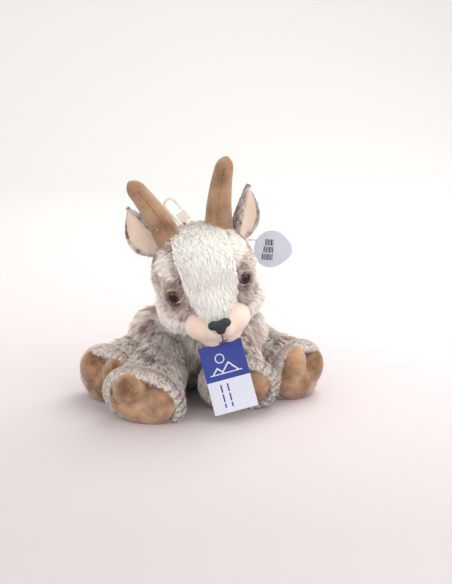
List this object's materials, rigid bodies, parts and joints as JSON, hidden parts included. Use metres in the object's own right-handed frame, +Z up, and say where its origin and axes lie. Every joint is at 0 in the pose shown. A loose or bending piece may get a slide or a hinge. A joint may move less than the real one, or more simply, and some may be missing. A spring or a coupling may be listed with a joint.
{
  "type": "plush animal",
  "caption": "Sitting plush ibex kid with horns, cloven soles, card tag, price card and hanging hook; its neck, ears, tail and limbs bend.",
  "frame": {"origin": "on the flat underside of the seat, below the middle of the torso", "axes": "+Z up, the toy faces -Y, +X to the viewer's right when facing its face"},
  "size_m": [0.226, 0.2181, 0.2425],
  "materials": {
    "taupe_fur": "frosted long-pile plush",
    "white_fur": "white long-pile plush",
    "cream_fur": "cream long-pile plush",
    "belly_plush": "short dark grey plush",
    "tan_velour": "short-pile tan velour",
    "beige_velour": "short-pile beige velour",
    "fibre_stuffing": "polyester fibre",
    "bean_bag": "woven bag of plastic beans",
    "eye_plastic": "glossy, brown iris and black pupil",
    "nose_plastic": "black, grained",
    "washer_plastic": "natural moulded",
    "thread": "dark sewing thread",
    "printed_card": "coated card, blue over white",
    "white_card": "coated white card",
    "clear_plastic": "clear moulded",
    "satin_label": "white satin"
  },
  "bodies": {
    "torso": {"belly_panel": "belly_plush", "seat_panel": "belly_plush", "back_panel_left": "taupe_fur", "back_panel_right": "taupe_fur", "body_stuffing": "fibre_stuffing", "bean_pouch": "bean_bag", "care_label": "satin_label", "card_tag_fastener": "clear_plastic"},
    "tail": {"tail_fur": "taupe_fur", "tail_stuffing": "fibre_stuffing"},
    "neck": {"neck_cover": "taupe_fur", "neck_stuffing": "fibre_stuffing"},
    "head": {"blaze_panel": "white_fur", "head_back_panel": "taupe_fur", "head_stuffing": "fibre_stuffing", "mouth_stitch": "thread", "nose": "nose_plastic", "nose_washer": "washer_plastic", "barcode_loop": "clear_plastic", "cheek_panel_left": "taupe_fur", "cheek_panel_right": "taupe_fur", "jowl_panel_left": "cream_fur", "jowl_panel_right": "cream_fur", "muzzle_panel_left": "beige_velour", "muzzle_panel_right": "beige_velour", "horn_cover_left": "tan_velour", "horn_cover_right": "tan_velour", "horn_stuffing_left": "fibre_stuffing", "horn_stuffing_right": "fibre_stuffing", "eye_left": "eye_plastic", "eye_right": "eye_plastic", "eye_left_washer": "washer_plastic", "eye_right_washer": "washer_plastic"},
    "card_tag": {"card_tag": "printed_card"},
    "barcode_tag": {"barcode_card": "white_card"},
    "hanger": {"hanger_hook": "clear_plastic", "hanger_strap": "clear_plastic"},
    "foreleg_left": {"foreleg_left_fur": "taupe_fur", "foreleg_left_sole": "tan_velour", "foreleg_left_stuffing": "fibre_stuffing"},
    "foreleg_right": {"foreleg_right_fur": "taupe_fur", "foreleg_right_sole": "tan_velour", "foreleg_right_stuffing": "fibre_stuffing"},
    "hindleg_left": {"hindleg_left_fur": "taupe_fur", "hindleg_left_sole": "tan_velour", "hindleg_left_stuffing": "fibre_stuffing"},
    "hindleg_right": {"hindleg_right_fur": "taupe_fur", "hindleg_right_sole": "tan_velour", "hindleg_right_stuffing": "fibre_stuffing"},
    "ear_left": {"ear_back_left": "taupe_fur", "ear_lining_left": "beige_velour"},
    "ear_right": {"ear_back_right": "taupe_fur", "ear_lining_right": "beige_velour"}
  },
  "joints": [
    {"name": "neck_turn", "type": "hinge", "parent": "torso", "child": "neck", "pos_m": [0.001, -0.036, 0.091], "axis": [0, 0, 1], "range_deg": [-20, 20]},
    {"name": "neck_nod", "type": "hinge", "parent": "neck", "child": "head", "pos_m": [0.001, -0.036, 0.091], "axis": [-1, 0, 0], "range_deg": [0, 20]},
    {"name": "foreleg_left_raise", "type": "hinge", "parent": "torso", "child": "foreleg_left", "pos_m": [-0.032, -0.048, 0.044], "axis": [-0.9732, 0.2298, 0], "range_deg": [0, 20]},
    {"name": "foreleg_right_raise", "type": "hinge", "parent": "torso", "child": "foreleg_right", "pos_m": [0.0355, -0.046, 0.042], "axis": [-0.9979, -0.0644, 0], "range_deg": [0, 8]},
    {"name": "hindleg_left_raise", "type": "hinge", "parent": "torso", "child": "hindleg_left", "pos_m": [-0.054, -0.016, 0.034], "axis": [-0.8412, 0.5408, 0], "range_deg": [0, 30]},
    {"name": "hindleg_right_raise", "type": "hinge", "parent": "torso", "child": "hindleg_right", "pos_m": [0.0595, -0.004, 0.034], "axis": [-0.8019, -0.5975, 0], "range_deg": [0, 30]},
    {"name": "ear_left_flap", "type": "hinge", "parent": "head", "child": "ear_left", "pos_m": [-0.04006, -0.07025, 0.14994], "axis": [0.7692, -0.1462, 0.6221], "range_deg": [-15, 15]},
    {"name": "ear_right_flap", "type": "hinge", "parent": "head", "child": "ear_right", "pos_m": [0.03635, -0.06073, 0.16761], "axis": [0.9049, 0.3548, -0.235], "range_deg": [-15, 15]},
    {"name": "tail_wag", "type": "hinge", "parent": "torso", "child": "tail", "pos_m": [0.004, 0.0575, 0.036], "axis": [0, 0, 1], "range_deg": [-25, 25]},
    {"name": "card_swing", "type": "hinge", "parent": "torso", "child": "card_tag", "pos_m": [0.0215, -0.1085, 0.0645], "axis": [-0.2686, -0.9131, 0.3068], "range_deg": [-12, 7]},
    {"name": "barcode_swing", "type": "hinge", "parent": "head", "child": "barcode_tag", "pos_m": [0.0555, -0.0444, 0.158], "axis": [0, -1, 0], "range_deg": [-25, 15]},
    {"name": "hanger_tilt", "type": "hinge", "parent": "head", "child": "hanger", "pos_m": [-0.0175, -0.063, 0.1765], "axis": [0.766, 0, 0.6428], "range_deg": [-15, 15]}
  ]
}
